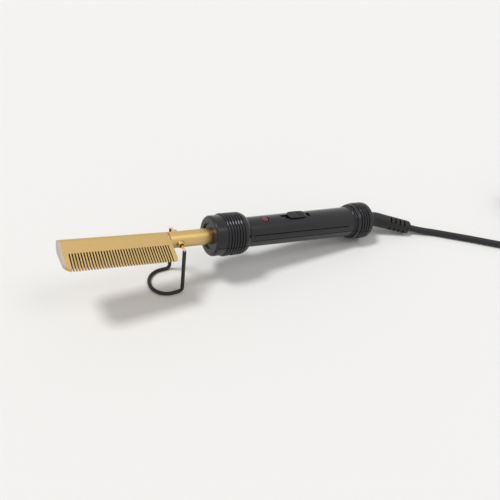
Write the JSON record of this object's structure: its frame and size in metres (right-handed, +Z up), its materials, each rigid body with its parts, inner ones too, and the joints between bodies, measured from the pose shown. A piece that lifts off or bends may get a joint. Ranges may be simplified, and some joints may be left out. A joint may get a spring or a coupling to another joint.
{
  "type": "electric hot comb",
  "caption": "Electric hot comb: slotted brass comb on a heated neck tube, ribbed two-part handle with slide switch and lamp, swinging wire stand and mains cord with a plug.",
  "frame": {"origin": "on the surface, under the middle of the box round the tool without its cord", "axes": "+X from the comb's free end towards the cord, +Y towards the comb's spine, +Z up; the tool stands on its wire stand and rear collar"},
  "size_m": [0.5437, 0.1331, 0.0631],
  "materials": {
    "comb_brass": "satin, warm gold",
    "end_steel": "satin",
    "heater_steel": "satin",
    "glass_sleeving": "woven, matt",
    "fuse_ceramic": "glossy",
    "tube_brass": "satin, warm gold",
    "wire_brass": "satin, warm gold",
    "sleeve_silicone": "satin",
    "bush_phenolic": "matt",
    "screw_steel": "satin",
    "handle_plastic": "satin gloss, charcoal",
    "lens_red": "clear, glossy",
    "led_resin": "clear, glossy",
    "resistor_body": "glossy",
    "board_laminate": "satin",
    "terminal_plastic": "matt",
    "thumb_plastic": "satin",
    "lever_plastic": "matt",
    "housing_plastic": "matt",
    "lead_insulation": "satin",
    "cord_rubber": "satin",
    "clamp_plastic": "matt",
    "boot_rubber": "satin",
    "tie_fabric": "matt, hook and loop",
    "plug_plastic": "satin",
    "pin_nickel": "bright nickel"
  },
  "bodies": {
    "tool": {"comb_head": "comb_brass", "comb_end_cap": "end_steel", "heater_cartridge": "heater_steel", "heater_leads": "glass_sleeving", "thermal_fuse": "fuse_ceramic", "neck_tube": "tube_brass", "pivot_bosses": "tube_brass", "heat_bush": "bush_phenolic", "tube_ring": "screw_steel", "upper_shell": "handle_plastic", "lower_shell": "handle_plastic", "indicator_lens": "lens_red", "indicator_led": "led_resin", "led_resistor": "resistor_body", "circuit_board": "board_laminate", "lead_terminal": "terminal_plastic", "board_screws": "screw_steel", "switch_housing": "housing_plastic", "supply_leads": "lead_insulation", "cord_tail": "cord_rubber", "cord_clamp": "clamp_plastic", "clamp_screws": "screw_steel", "shell_screws": "screw_steel", "strain_relief": "boot_rubber", "mains_cord": "cord_rubber", "cord_to_plug": "cord_rubber", "cord_coil": "cord_rubber", "coil_tie": "tie_fabric", "plug_body": "plug_plastic", "plug_pins": "pin_nickel"},
    "stand": {"stand_wire": "wire_brass", "stand_sleeve": "sleeve_silicone"},
    "slider": {"switch_thumb": "thumb_plastic", "switch_lever": "lever_plastic"}
  },
  "joints": [
    {"name": "stand_hinge", "type": "hinge", "parent": "tool", "child": "stand", "pos_m": [-0.0753, 0.0032, 0.04519], "axis": [0, 1, 0], "range_deg": [-57, 61]},
    {"name": "switch_slide", "type": "slide", "parent": "tool", "child": "slider", "axis": [-0.9891, 0, 0.147], "range_m": [0, 0.0045]}
  ]
}
